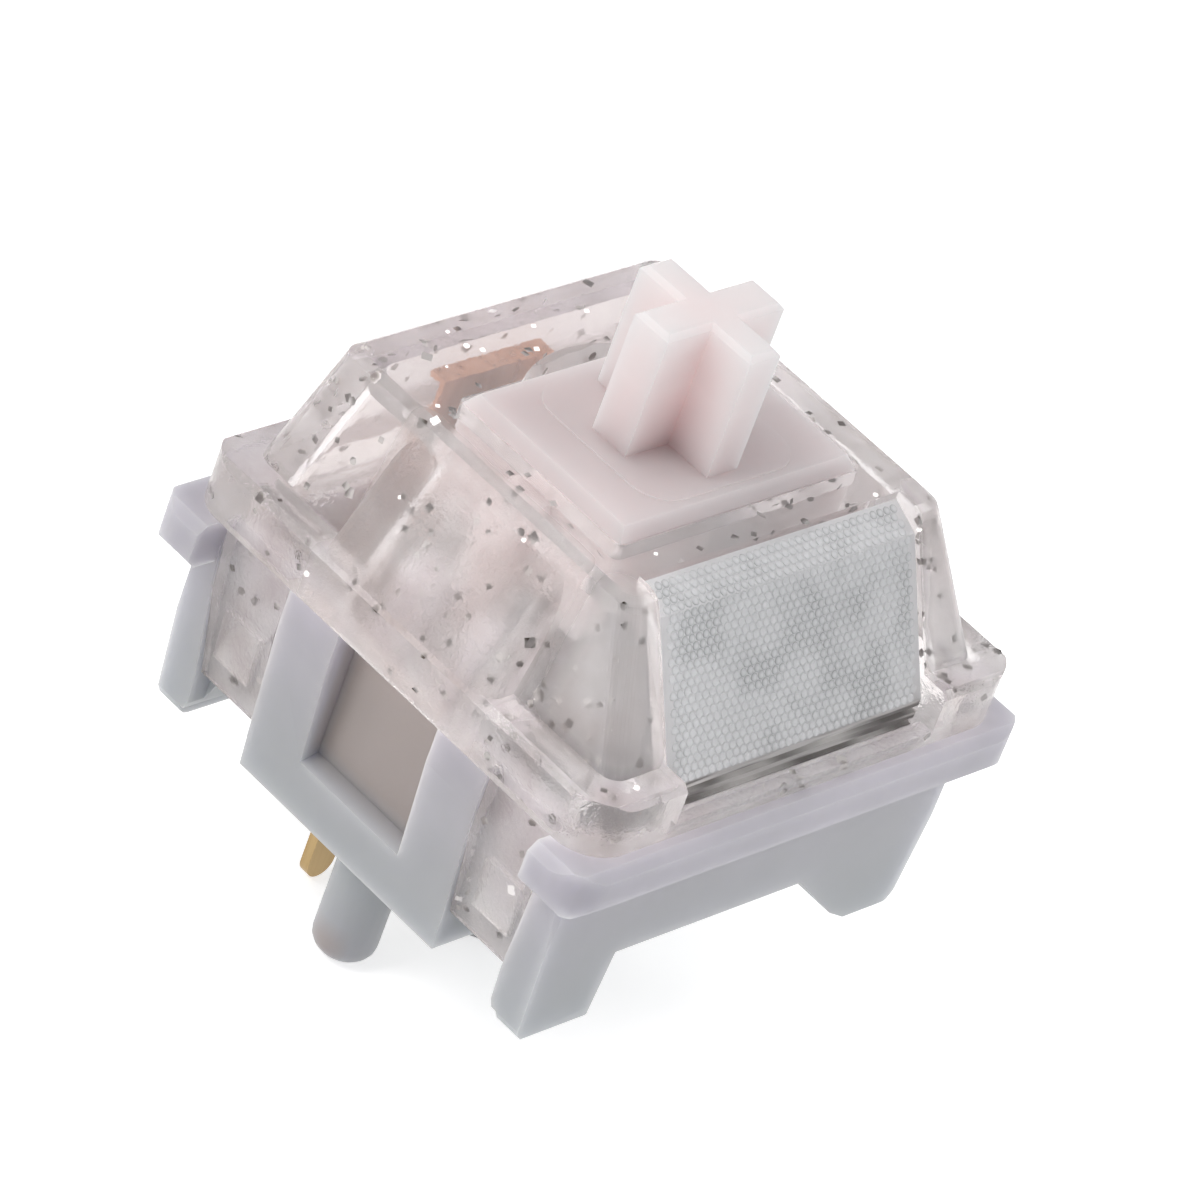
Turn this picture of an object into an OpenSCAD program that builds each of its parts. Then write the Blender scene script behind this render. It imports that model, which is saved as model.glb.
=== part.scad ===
// Mechanical keyboard switch with five pins: a clear upper housing with
// side hoods and four clip legs, a milky base, a cross stem on a coil
// spring, a leaf contact at the back and a light lens at the front.
// Z is up and Z = 0 is the face of the circuit board. The stem axis is
// X = 0, Y = 0. The lens faces -Y, the contacts stand at +Y.

/* [Heights] */
// Plate seat, the underside of the flange, above the board
plate_z = 5; // [4.7:0.1:5.4]
// Flat top of the upper housing above the board
top_z = 11.6; // [11.4:0.1:12.2]
// Key travel from rest to the lower stop
travel = 4; // [3.2:0.1:4]
// Reach of the post, pegs and pins below the board
pin_reach = 3.3; // [3:0.1:3.6]

/* [Clearances] */
// Gap between pieces that are fixed to each other
fit_gap = 0.04; // [0.02:0.01:0.06]
// Running gap round pieces that slide
slide_gap = 0.1; // [0.08:0.01:0.12]
// Gap left at each stop of the travel
stop_gap = 0.05; // [0.03:0.01:0.1]

/* [Base] */
// Width and length of the base under the flange
base_w = 14; // [13.9:0.05:14.1]
// How far each side of the base draws in at the feet
side_draft = 0.4; // [0.2:0.05:0.6]
// How far the front and the back of the base draw in at the feet
end_draft = 0.12; // [0.05:0.01:0.3]
// Radius of the upright corners of the base
base_r = 0.35; // [0.2:0.05:0.7]
// How far the flange stands out all round the base
flange_lip = 0.95; // [0.7:0.05:1.1]
// Thickness of the flange
flange_t = 1.3; // [1.1:0.1:1.5]
// Radius of the corners of the flange
flange_r = 1.15; // [0.9:0.05:1.6]
// Bevel round the edges of the flange
flange_bevel = 0.25; // [0.1:0.05:0.4]
// Thickness of the front and back walls of the base
wall_t = 1.1; // [0.9:0.05:1.3]
// Height of the underside of the floor above the board
floor_lift = 0.4; // [0.3:0.05:0.6]
// Thickness of the floor
floor_t = 1.2; // [1:0.1:1.3]
// Rounding of the lower outer edge of the feet
foot_r = 0.4; // [0.2:0.05:0.6]
// Height of the wall edge between the front feet
arch_z = 2.1; // [1.9:0.1:2.4]
// Length of each foot along the front
foot_l = 2.55; // [2:0.05:2.8]
// Height of the opening under each clip leg
notch_z = 1.25; // [0.8:0.05:1.4]
// Depth of the opening between the front feet
arch_d = 2.4; // [1.6:0.1:2.6]

/* [Side panel] */
// Length of the middle panel on each side
panel_l = 7.3; // [7:0.1:7.5]
// Length of the recess in the middle panel
recess_l = 3.7; // [3:0.1:4.4]
// Depth of the recess in the middle panel
recess_d = 0.8; // [0.4:0.1:1]
// Height of the lower edge of the recess
recess_z = 2.1; // [1.8:0.1:3]
// Drop of the floor of the recess towards its outer edge
recess_fall = 0.25; // [0:0.05:0.4]

/* [Clip legs] */
// Length of each clip leg along the side
leg_l = 2.4; // [2:0.1:2.5]
// Thickness of each clip leg
leg_t = 0.85; // [0.75:0.05:0.95]
// Height of the lower end of the clip legs
leg_z = 1.65; // [1.4:0.05:1.9]
// How much each clip leg narrows towards its lower end
leg_taper = 0.35; // [0.2:0.05:0.4]
// Height of the catch face that holds a leg down
catch_z = 2.4; // [2.3:0.05:2.6]
// Height of the wedge above the catch face
catch_h = 1.4; // [1:0.1:1.6]
// How far the catch wedge stands out
catch_d = 0.42; // [0.3:0.02:0.5]

/* [Board fixing] */
// Radius of the centre post
post_r = 2; // [1.9:0.05:2]
// Radius of the two fixing pegs
peg_r = 0.85; // [0.8:0.05:0.9]
// Distance of each fixing peg from the stem axis
peg_x = 5.08; // [5:0.01:5.2]
// Width of a contact pin
pin_w = 0.9; // [0.7:0.05:1]
// Thickness of a contact pin
pin_t = 0.3; // [0.2:0.02:0.36]

/* [Upper housing] */
// How far the sides of the rim lie in from the flange
rim_in = 0.6; // [0.3:0.05:0.7]
// How far the ends of the rim lie in from the flange
rim_in_end = 0.475; // [0.25:0.025:0.55]
// Height of the rim
rim_h = 1.6; // [1.4:0.1:1.7]
// Radius of the corners of the rim
rim_r = 1.2; // [0.8:0.05:1.5]
// Width of the ledge on top of the rim at the sides
ledge_side = 1; // [0.8:0.05:1.2]
// Width of the ledge on top of the rim at the back
ledge_back = 0.875; // [0.7:0.025:1]
// Width of the ledge on top of the rim beside the lens
ledge_front = 0.525; // [0.45:0.025:0.6]
// Width of the flat top
top_w = 10.9; // [10.7:0.1:11.2]
// Distance of the back edge of the flat top from the stem axis
top_back = 5.8; // [5.6:0.1:5.9]
// Distance of the front edge of the flat top from the stem axis
top_front = 4.65; // [4.5:0.05:4.75]
// Wall thickness of the upper housing
skin_t = 0.9; // [0.8:0.05:1]
// Thickness of the flat top round the stem
cap_t = 1; // [0.8:0.05:1.1]
// Radius of the upright corners of the body
body_r = 0.5; // [0.3:0.1:0.8]
// Rounding between the flat top and the sloping front
front_r = 0.6; // [0.4:0.1:0.8]
// Bevel along the edges of the flat top
top_bevel = 0.18; // [0.1:0.02:0.3]

/* [Hood] */
// Length of the hood in the middle of each side
hood_l = 6.2; // [5.6:0.1:6.6]
// Radius of the upright edges of the hood
hood_r = 0.9; // [0.5:0.1:1.2]
// Distance from the flat top down to the brow of the hood
brow_drop = 0.35; // [0.2:0.05:0.6]

/* [Light lens] */
// Width of the lens
lens_w = 8.9; // [8.4:0.1:9]
// Thickness of the lens, along Y
lens_t = 0.8; // [0.6:0.05:0.85]
// How far the lens face lies back from the sloping front
lens_inset = 0.12; // [0.05:0.01:0.2]
// Distance of the top edge of the lens from the stem axis
lens_edge = 3.95; // [3.8:0.05:4]
// Drop of the top edge of the lens below the flat top
lens_drop = 0.18; // [0.1:0.02:0.25]
// Drop of the lower edge of the shoulder of the lens below the flat top
shoulder_drop = 0.6; // [0.5:0.05:0.8]
// Height of the bar in the rim below the lens
sill_h = 0.45; // [0.3:0.05:0.5]
// Height of each groove across the foot of the lens
groove_h = 0.18; // [0.1:0.02:0.22]

/* [Stem] */
// Width of the stem deck, along X
deck_w = 7.7; // [7.5:0.1:7.9]
// Distance of the front edge of the deck from the stem axis
deck_front = 2.6; // [2.4:0.05:2.7]
// Distance of the back edge of the deck from the stem axis
deck_back = 2.7; // [2.6:0.05:2.75]
// How far the deck stands above the housing top
deck_proud = 0.3; // [0.2:0.05:0.4]
// Thickness of the deck above the spring seat
deck_t = 1.6; // [1.4:0.1:1.8]
// Width of the sloping border round the deck
border_w = 0.22; // [0.1:0.02:0.25]
// Drop of the sloping border
border_h = 0.35; // [0.2:0.05:0.5]
// Length of the arms of the cross
cross_l = 4; // [3.9:0.02:4.1]
// Thickness of the arm along X
arm_x_t = 1.2; // [1.1:0.02:1.3]
// Thickness of the arm along Y
arm_y_t = 1.05; // [1:0.02:1.15]
// Height of the cross above the deck
cross_h = 3.6; // [3.4:0.05:3.8]
// Bevel on the ends and edges of the cross
cross_bevel = 0.14; // [0.05:0.01:0.2]
// Depth of the skirt under the spring seat
skirt_h = 1.7; // [1.4:0.1:2]
// Radius of the guide pole under the stem
pole_r = 1.15; // [1:0.05:1.2]
// Height of the guide towers above the flange
tower_h = 1.7; // [1.2:0.1:2]
// Length of each guide tower, along Y
tower_l = 1.1; // [0.8:0.1:1.4]
// Reach of the side rails beyond the skirt
rail_d = 0.75; // [0.6:0.05:0.8]
// Length of the side rails, along Y
rail_l = 1.2; // [1:0.1:1.4]

/* [Spring] */
// Diameter of the spring wire
wire_d = 0.3; // [0.26:0.01:0.32]
// Outer diameter of the spring
spring_d = 4.4; // [4.3:0.05:4.5]
// Number of turns, with the closed turn at each end
spring_turns = 11; // [9:1:12]
// Height of the guide tube above the floor
tube_h = 2.9; // [2:0.1:3.2]

/* [Contacts] */
// Thickness of the terminal sheet
sheet_t = 0.25; // [0.2:0.01:0.3]
// Thickness of the contact leaf
leaf_t = 0.15; // [0.1:0.01:0.18]
// Distance of the contact leaf from the stem axis
leaf_y = 4.4; // [4.35:0.01:4.45]
// Height at which the leaf bends
bend_z = 3; // [2.8:0.1:3.1]
// Height of the noses that ride on the stem legs
nose_z = 6.7; // [6.6:0.05:6.9]
// How far a nose moves over the travel
nose_throw = 0.5; // [0.4:0.02:0.52]
// Width of each nose and of each stem leg
nose_w = 0.8; // [0.6:0.05:0.9]
// Distance of the noses from the middle of the leaf
nose_x = 1.75; // [1.65:0.05:1.8]
// Height of the contact points
point_z = 7.6; // [7.4:0.1:7.8]
// Radius of the contact points
point_r = 0.35; // [0.25:0.05:0.45]
// Thickness of each contact point
point_t = 0.15; // [0.1:0.01:0.17]

/* [Hidden] */
$fn = 32;
eps = 0.01;
far = 30;

// Heights
rim_z = plate_z + flange_t;
ledge_z = rim_z + rim_h;
cap_z = top_z - cap_t;
floor_z = floor_lift + floor_t;
deck_z = top_z + deck_proud;
seat_z = deck_z - deck_t;
skirt_z = seat_z - skirt_h;
bore_z = -pin_reach + 0.65;
pole_z = bore_z + travel + 0.3;
rail_z = floor_z + travel + stop_gap + 0.1;
rail_top = cap_z - stop_gap;

// Base
half = base_w / 2;
foot_x = half - side_draft;
foot_y = half - end_draft;
foot_in = foot_x - foot_l;
flange_w = base_w + 2 * flange_lip;
pocket_x = half - leg_t - 0.08;
pocket_in = panel_l / 2 + fit_gap;
pocket_out = pocket_in + leg_l + 2 * fit_gap;
pocket_low = pocket_out - leg_taper;
foot_back = pocket_low + 0.25;
cavity_x = pocket_x - 0.7;
cavity_y = half - wall_t;
leg_mid = (pocket_in + pocket_out) / 2;
leg_x = pocket_x + fit_gap;

// Upper housing
rim_w = flange_w - 2 * rim_in;
rim_l = flange_w - 2 * rim_in_end;
shoulder_w = rim_w - 2 * ledge_side;
slope_foot = rim_l / 2 - ledge_front;
back_foot = rim_l / 2 - ledge_back;
slope = (slope_foot - top_front) / (top_z - rim_z - 1);
slope_z = rim_z + 1;
sill_z = rim_z + sill_h;
skin_y = skin_t * sqrt(1 + slope * slope);
hood_half = hood_l / 2;

// Stem
skirt_x = deck_w / 2 + border_w;
skirt_front = deck_front + border_w;
skirt_back = deck_back + border_w;
open_x = skirt_x + slide_gap;
rail_x = skirt_x + rail_d;
bore_r = pole_r + slide_gap;
tube_r = spring_d / 2 - wire_d - 0.12;

// Contacts: the leg face drops away by nose_throw over the travel
cam_slope = nose_throw / travel;
leg_foot_z = floor_z + sheet_t + travel + 0.3;
leg_foot_y = skirt_back + 0.85;
nose_tip_y = leg_foot_y + slide_gap - cam_slope * (nose_z - leg_foot_z);
plate_y = skirt_back + 0.2;
upright_y = leaf_y + leaf_t + fit_gap;
pin_a = [-3.81, 2.54];
pin_b = [2.54, 5.08];
leaf_left = -3;
leaf_right = 2.45;
leaf_top = cap_z - 0.4;

// Distance of the sloping front from the axis at height z
function front_at(z) = slope_foot - slope * (z - slope_z);

// Profile in X and Z, extruded along Y about the middle
module along_y(length) {
    rotate([90, 0, 0]) linear_extrude(length, center = true) children();
}

// Profile in Y and Z, extruded along X about the middle
module along_x(length) {
    rotate([90, 0, 90]) linear_extrude(length, center = true) children();
}

// Rectangle from x0 to x1 and y0 to y1 with true round corners
module rounded(x0, x1, y0, y1, r) {
    translate([x0 + r, y0]) square([x1 - x0 - 2 * r, y1 - y0]);
    translate([x0, y0 + r]) square([x1 - x0, y1 - y0 - 2 * r]);
    for (x = [x0 + r, x1 - r], y = [y0 + r, y1 - r]) translate([x, y]) circle(r);
}

// Thin rounded slab, used as a section of a tapered block
module slab(x, y0, y1, z, r) {
    translate([0, 0, z]) linear_extrude(eps) rounded(-x, x, y0, y1, r);
}

// Box between two corners
module box(a, b) {
    translate(a) cube(b - a);
}

// The same thing on both sides of X = 0
module both_sides() {
    children();
    mirror([1, 0, 0]) children();
}

// The same thing in all four corners
module four_corners() {
    both_sides() {
        children();
        mirror([0, 1, 0]) children();
    }
}

module flange_solid() {
    f = flange_w / 2;
    b = flange_bevel;
    lip = [[-f + b, plate_z], [f - b, plate_z], [f, plate_z + b], [f, rim_z - b],
        [f - b, rim_z], [-f + b, rim_z], [-f, rim_z - b], [-f, plate_z + b]];
    intersection() {
        translate([0, 0, plate_z]) linear_extrude(flange_t) rounded(-f, f, -f, f, flange_r);
        along_y(far) polygon(lip);
        along_x(far) polygon(lip);
    }
}

// Half profile of a side that leans in from the plate seat to its foot
function leaning(foot, r) = let (lean = (half - foot) / plate_z)
    [[foot - r, 0], [foot - 0.6 * r, 0.1 * r], [foot - 0.25 * r, 0.4 * r], [foot + lean * r, r],
    [half, plate_z], [far, plate_z], [far, rim_z]];

// Half profile together with its mirror image
function mirrored(side) = concat(side, [for (i = [len(side) - 1 : -1 : 0]) [-side[i][0], side[i][1]]]);

// Base without its flange
module base_block() {
    intersection() {
        linear_extrude(rim_z) rounded(-half, half, -half, half, base_r);
        along_y(2 * far) polygon(mirrored(leaning(foot_x, foot_r)));
        along_x(2 * far) polygon(mirrored(leaning(foot_y, foot_r / 4)));
    }
}

// Arch between the front feet, with a long slope on its right side
module front_arch() {
    translate([0, -half, 0]) along_y(2 * arch_d)
        polygon([[-foot_in - 0.2, -1], [-foot_in - 0.1, floor_lift], [-foot_in, arch_z],
            [foot_in * 0.6, arch_z], [foot_in + 0.2, floor_lift + 0.05], [foot_in + 1, 0],
            [foot_in + 1, -1]]);
}

// Low arch between the back feet
module back_arch() {
    top = floor_lift + 0.6;
    translate([0, half, 0]) along_y(2 * (wall_t + end_draft + 0.1))
        polygon([[0.1 - foot_in, -1], [0.1 - foot_in, top - 0.3], [0.4 - foot_in, top],
            [foot_in - 0.4, top], [foot_in - 0.1, top - 0.3], [foot_in - 0.1, -1]]);
}

// Pocket in a side for a clip leg, open below so that a narrow foot is left in the corner
module leg_pocket() {
    x0 = pocket_x - 1.1;
    y0 = pocket_in - eps;
    intersection() {
        along_x(far) polygon([[pocket_in, -1], [pocket_in, rim_z + 1], [pocket_out, rim_z + 1],
            [pocket_out, rim_z - 0.5], [pocket_low, leg_z], [pocket_low, -1]]);
        box([pocket_x, 0, -1], [far, far, far]);
    }
    intersection() {
        along_y(far) polygon([[x0, -1], [x0, floor_lift], [pocket_x + 0.05, notch_z],
            [far, notch_z], [far, -1]]);
        along_x(far) polygon([[y0, -1], [y0, far], [foot_back - 0.5, far],
            [foot_back - 0.5, notch_z], [foot_back, 0], [foot_back, -1]]);
    }
}

// Recess in the middle panel, with a floor that falls outwards
module panel_recess() {
    x0 = half - recess_d;
    along_y(recess_l) polygon([[x0, recess_z], [half + 0.1, recess_z - recess_fall],
        [far, recess_z - recess_fall], [far, rim_z + 1], [x0, rim_z + 1]]);
}

// Wedge that snaps into the window of a clip leg
module catch() {
    translate([0, leg_mid, 0]) along_y(leg_l / 2)
        polygon([[pocket_x - 0.1, catch_z], [pocket_x + catch_d, catch_z],
            [pocket_x, catch_z + catch_h], [pocket_x - 0.1, catch_z + catch_h]]);
}

// Tower with a groove that guides one stem rail
module guide_tower() {
    y0 = rail_l / 2 + slide_gap;
    x0 = skirt_x + slide_gap + 0.05;
    x1 = cavity_x + 0.1;
    z1 = rim_z + tower_h;
    lead = (x1 - x0) / 4;
    for (s = [-1, 1])
        along_y_at(s * (y0 + tower_l / 2), tower_l)
            polygon([[x0, floor_z - eps], [x1, floor_z - eps], [x1, z1 - lead], [x1 - lead, z1],
                [x0 + lead, z1], [x0, z1 - lead]]);
}

module along_y_at(y, length) {
    translate([0, y, 0]) along_y(length) children();
}

module bottom_housing() {
    color([0.87, 0.86, 0.9]) difference() {
        union() {
            difference() {
                union() {
                    base_block();
                    flange_solid();
                }
                box([-cavity_x, -cavity_y, floor_z], [cavity_x, cavity_y, far]);
                front_arch();
                back_arch();
                box([-far, -foot_back, -1], [far, foot_back, floor_lift]);
                four_corners() leg_pocket();
                four_corners() box([half, -eps, plate_z - 1], [far, pocket_out, rim_z + 1]);
                both_sides() panel_recess();
            }
            four_corners() catch();
            both_sides() guide_tower();
            centre_post();
            both_sides() fixing_peg();
            terminal_rests();
        }
        translate([0, 0, bore_z]) cylinder(h = far, r = bore_r);
        pin_slot(pin_a);
        pin_slot(pin_b);
    }
}

// Solid post below the floor and guide tube above it
module centre_post() {
    lead = 0.35;
    translate([0, 0, -pin_reach]) rotate_extrude()
        polygon([[0, 0], [post_r - lead, 0], [post_r, lead], [post_r, pin_reach + floor_z - eps],
            [tube_r, pin_reach + floor_z], [tube_r, pin_reach + floor_z + tube_h - 0.2],
            [tube_r - 0.2, pin_reach + floor_z + tube_h], [0, pin_reach + floor_z + tube_h]]);
}

// Fixing peg with a domed end
module fixing_peg() {
    top = pin_reach + floor_z - 0.1;
    dome = 0.7 * peg_r;
    flat = 20;
    tip = [for (a = [flat : 14 : 90]) [peg_r * sin(a), dome * (cos(flat) - cos(a))]];
    translate([peg_x, 0, -pin_reach + 0.05]) rotate_extrude()
        polygon(concat([[0, 0]], tip, [[peg_r, top], [0, top]]));
}

// Blocks that the terminals stand against
module terminal_rests() {
    box([pin_a[0] - pin_w / 2, upright_y + sheet_t + fit_gap, floor_z - eps],
        [1, cavity_y + 0.1, bend_z + 1]);
    box([-pin_w - 0.4, plate_y - 0.05, floor_z - eps],
        [-pin_w - fit_gap, plate_y + sheet_t + 0.1, floor_z + 1.2]);
}

module pin_slot(at) {
    translate([at[0], at[1], 0])
        cube([pin_w + 2 * fit_gap, pin_t + 2 * fit_gap, 4 * floor_z], center = true);
}

// Body of the upper housing, drawn in by t for the inside
module body_solid(t, z0, z1) {
    side = (shoulder_w - top_w) / 2 / (top_z - ledge_z);
    back = (back_foot - top_back) / (top_z - ledge_z);
    ty = t > 0 ? skin_y : 0;
    bevel = t > 0 ? 0 : top_bevel;
    r = t > 0 ? 0 : front_r;
    turn = 90 - atan(slope);
    round_y = front_at(z1) - ty - r * tan(turn / 2);
    drops = concat([bevel], [for (i = [0 : 3]) r * (1 - cos(turn * i / 3))]);
    hull() {
        slab(shoulder_w / 2 - side * (z0 - ledge_z) - t, ty - front_at(z0),
            back_foot - back * (z0 - ledge_z) - t, z0, body_r);
        for (drop = drops) {
            z = z1 - drop;
            edge = t + max(0, bevel - drop);
            slab(shoulder_w / 2 - side * (z - ledge_z) - edge,
                -round_y - sqrt(max(0, r * r - (r - drop) * (r - drop))),
                back_foot - back * (z - ledge_z) - edge, z - eps, body_r);
        }
    }
}

// Hoods on both sides at once, drawn in by t for the inside
module hood_solid(t, z0) {
    brow_z = top_z - brow_drop;
    w = rim_w / 2;
    lean = (w - top_w / 2) / (brow_z - ledge_z + 0.3);
    z1 = t > 0 ? cap_z : brow_z;
    x1 = top_w / 2 + lean * (brow_z - z1) - t;
    x0 = t > 0 ? x1 + lean * (z1 - z0) : w;
    hull() {
        slab(x0, -hood_half + t, hood_half - t, z0, hood_r / 2);
        slab(min(x0, w - t), -hood_half + t, hood_half - t, ledge_z - 0.3, hood_r / 2);
        slab(x1, -hood_half + t, hood_half - t, z1 - eps, hood_r / 2);
    }
}

module rim_solid() {
    w = rim_w / 2;
    l = rim_l / 2;
    b = top_bevel;
    intersection() {
        translate([0, 0, rim_z + fit_gap]) linear_extrude(rim_h - fit_gap)
            rounded(-w, w, -l, l, rim_r);
        along_y(far) polygon([[-w, 0], [w, 0], [w, ledge_z - b], [w - b, ledge_z],
            [b - w, ledge_z], [-w, ledge_z - b]]);
        along_x(far) polygon([[-l, 0], [l, 0], [l, ledge_z - b], [l - b, ledge_z],
            [b - l, ledge_z], [-l, ledge_z - b]]);
    }
}

// Clip leg with a tapered lower end and a window for the catch
module clip_leg() {
    y0 = leg_mid - leg_l / 2;
    y1 = leg_mid + leg_l / 2;
    step_z = leg_z + (rim_z - leg_z) * 0.58;
    x1 = leg_x + leg_t;
    difference() {
        intersection() {
            along_y(far) polygon([[leg_x, leg_z + 0.3], [leg_x + 0.2, leg_z], [x1 - 0.4, leg_z],
                [x1, step_z], [x1, rim_z + 0.3], [leg_x, rim_z + 0.3]]);
            along_x(far) polygon([[y0, leg_z], [y1 - leg_taper, leg_z], [y1, rim_z - 0.5],
                [y1, rim_z + 0.3], [y0, rim_z + 0.3]]);
        }
        box([0, leg_mid - leg_l / 4 - fit_gap, catch_z - fit_gap],
            [pocket_x + catch_d + 0.06, leg_mid + leg_l / 4 + fit_gap, catch_z + catch_h + 0.1]);
    }
}

// Opening for the stem, with a shallow bay at the back
module stem_opening() {
    y1 = skirt_back + slide_gap;
    translate([0, 0, cap_z - 1]) linear_extrude(far)
        rounded(-open_x, open_x, -skirt_front - slide_gap, y1, 0.2);
    intersection() {
        translate([0, 0, cap_z - 1]) cylinder(h = far, r = y1 + 0.6);
        box([-2, 0, cap_z - 1], [2, far, far]);
    }
}

// Window from the flat top down the sloping front, and slot through the rim below it
module lens_window() {
    t = skin_y + 0.05;
    w = lens_w / 2 + fit_gap;
    brow_z = top_z - (lens_edge + t - top_front) / slope;
    along_x(2 * w) polygon([[-far, sill_z], [-far, far], [-lens_edge, far], [-lens_edge, brow_z],
        [t - front_at(sill_z), sill_z]]);
    box([-w, -rim_l / 2 + 0.45, rim_z - 1], [w, -cavity_y + 0.3, sill_z + 0.1]);
}

module top_housing() {
    color([0.9, 0.86, 0.86, 0.45]) difference() {
        union() {
            rim_solid();
            body_solid(0, ledge_z - 0.5, top_z);
            hood_solid(0, rim_z + fit_gap);
            four_corners() clip_leg();
        }
        body_solid(skin_t, rim_z - 0.1, cap_z);
        hood_solid(skin_t, rim_z - 0.1);
        box([-pocket_x, -cavity_y, rim_z - 1], [pocket_x, cavity_y, ledge_z - 0.75]);
        stem_opening();
        lens_window();
    }
}

module cross_arm(l, t) {
    z1 = deck_z + cross_h;
    b = cross_bevel;
    intersection() {
        along_y(far) polygon([[-l / 2, seat_z], [l / 2, seat_z], [l / 2, z1 - b], [l / 2 - b, z1],
            [b - l / 2, z1], [-l / 2, z1 - b]]);
        along_x(far) polygon([[-t / 2, seat_z], [t / 2, seat_z], [t / 2, z1 - b], [t / 2 - b, z1],
            [b - t / 2, z1], [-t / 2, z1 - b]]);
    }
}

// Leg that holds one nose of the leaf off, with its long cam face
module stem_leg() {
    back_y = skirt_back - 0.6;
    top_y = leg_foot_y - cam_slope * (seat_z - leg_foot_z);
    translate([nose_x, 0, 0]) along_x(nose_w)
        polygon([[back_y, leg_foot_z], [leg_foot_y - 0.2, leg_foot_z], [leg_foot_y, leg_foot_z + 0.2],
            [top_y, seat_z], [back_y, seat_z]]);
}

module stem() {
    w = deck_w / 2;
    z0 = deck_z - border_h;
    color([0.93, 0.9, 0.9]) union() {
        cross_arm(cross_l, arm_x_t);
        rotate(90) cross_arm(cross_l, arm_y_t);
        difference() {
            union() {
                box([-skirt_x, -skirt_front, skirt_z], [skirt_x, skirt_back, z0]);
                intersection() {
                    along_y(far) polygon([[-skirt_x, z0 - eps], [skirt_x, z0 - eps], [skirt_x, z0],
                        [w, deck_z], [-w, deck_z], [-skirt_x, z0]]);
                    along_x(far) polygon([[-skirt_front, z0 - eps], [skirt_back, z0 - eps],
                        [skirt_back, z0], [deck_back, deck_z], [-deck_front, deck_z],
                        [-skirt_front, z0]]);
                }
            }
            translate([0, 0, skirt_z - 1]) cylinder(h = skirt_h + 1, r = spring_d / 2 + 0.2);
        }
        translate([0, 0, deck_z - eps]) linear_extrude(0.04 + eps)
            rounded(-2.6, 2.6, -2.4, 2.4, 1);
        translate([0, 0, pole_z]) rotate_extrude()
            polygon([[0, 0], [pole_r - 0.3, 0], [pole_r, 0.5], [pole_r, seat_z - pole_z + 0.1],
                [0, seat_z - pole_z + 0.1]]);
        both_sides() box([skirt_x - 0.3, -rail_l / 2, rail_z], [rail_x, rail_l / 2, rail_top]);
        both_sides() stem_leg();
    }
}

// Height of the wire axis after t turns, with a closed turn at each end
function coil_rise(t, closed, open) = t < 1 ? t * closed
    : t > spring_turns - 1 ? closed + (spring_turns - 2) * open + (t - spring_turns + 1) * closed
    : closed + (t - 1) * open;

module return_spring() {
    sides = 8;
    steps = 16;
    z0 = floor_z + fit_gap;
    h = seat_z - fit_gap - z0;
    r = wire_d / 2;
    mean = spring_d / 2 - r;
    closed = wire_d * 1.12;
    open = (h - wire_d - 2 * closed) / (spring_turns - 2);
    rings = spring_turns * steps;
    points = [for (i = [0 : rings], k = [0 : sides - 1])
        let (a = 360 * i / steps, b = 360 * k / sides, q = mean + r * cos(b))
        [q * cos(a), q * sin(a), z0 + r + coil_rise(i / steps, closed, open) + r * sin(b)]];
    walls = [for (i = [0 : rings - 1], k = [0 : sides - 1])
        let (n = (k + 1) % sides, a = i * sides, b = a + sides)
        [a + k, b + k, b + n, a + n]];
    start = [for (k = [0 : sides - 1]) k];
    finish = [for (k = [sides - 1 : -1 : 0]) rings * sides + k];
    color([0.8, 0.8, 0.82]) polyhedron(points, concat(walls, [start, finish]));
}

// Lens with a shoulder at its top edge and a grooved foot that stands on the base
module light_lens() {
    foot_z = rim_z + fit_gap;
    neck_z = slope_z;
    in = lens_inset;
    top_y = -lens_edge - fit_gap;
    shoulder_z = top_z - shoulder_drop;
    inner_z = top_z - (lens_edge + in + lens_t - top_front) / slope;
    face = in - front_at(neck_z);
    gap = (neck_z - foot_z - 2 * groove_h) / 3;
    color([0.86, 0.88, 0.87]) difference() {
        along_x(lens_w) polygon([[face, foot_z], [face, neck_z], [in - front_at(shoulder_z), shoulder_z],
            [top_y, top_z - lens_drop], [top_y, inner_z], [face + lens_t, neck_z],
            [face + lens_t, foot_z]]);
        for (i = [1, 2])
            box([-far, face - 1, foot_z + i * gap + (i - 1) * groove_h],
                [far, face + 0.25, foot_z + i * (gap + groove_h)]);
    }
}

// Flat pin with a round tip, standing in its slot at the given place
module pin_blade(at, top) {
    translate([at[0], at[1], 0]) along_y(pin_t) {
        translate([-pin_w / 2, -pin_reach + 0.1 + pin_w / 2])
            square([pin_w, pin_reach - 0.1 - pin_w / 2 + top]);
        translate([0, -pin_reach + 0.1 + pin_w / 2]) circle(pin_w / 2);
    }
}

module fixed_terminal() {
    z0 = floor_z + fit_gap;
    z1 = z0 + sheet_t;
    x1 = pin_b[0] + pin_w / 2;
    color([0.85, 0.68, 0.35]) union() {
        box([-pin_w, plate_y, z0], [pin_w, plate_y + sheet_t, point_z + 0.8]);
        box([-pin_w, plate_y, z0], [x1, plate_y + 0.75, z1]);
        box([pin_b[0] - pin_w / 2, plate_y, z0], [x1, pin_b[1] + pin_t / 2, z1]);
        pin_blade(pin_b, z1);
    }
}

module fixed_contact_point() {
    color([0.9, 0.75, 0.3])
        translate([0, plate_y + sheet_t + point_t, point_z]) rotate([90, 0, 0])
            cylinder(h = point_t, r = point_r);
}

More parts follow.
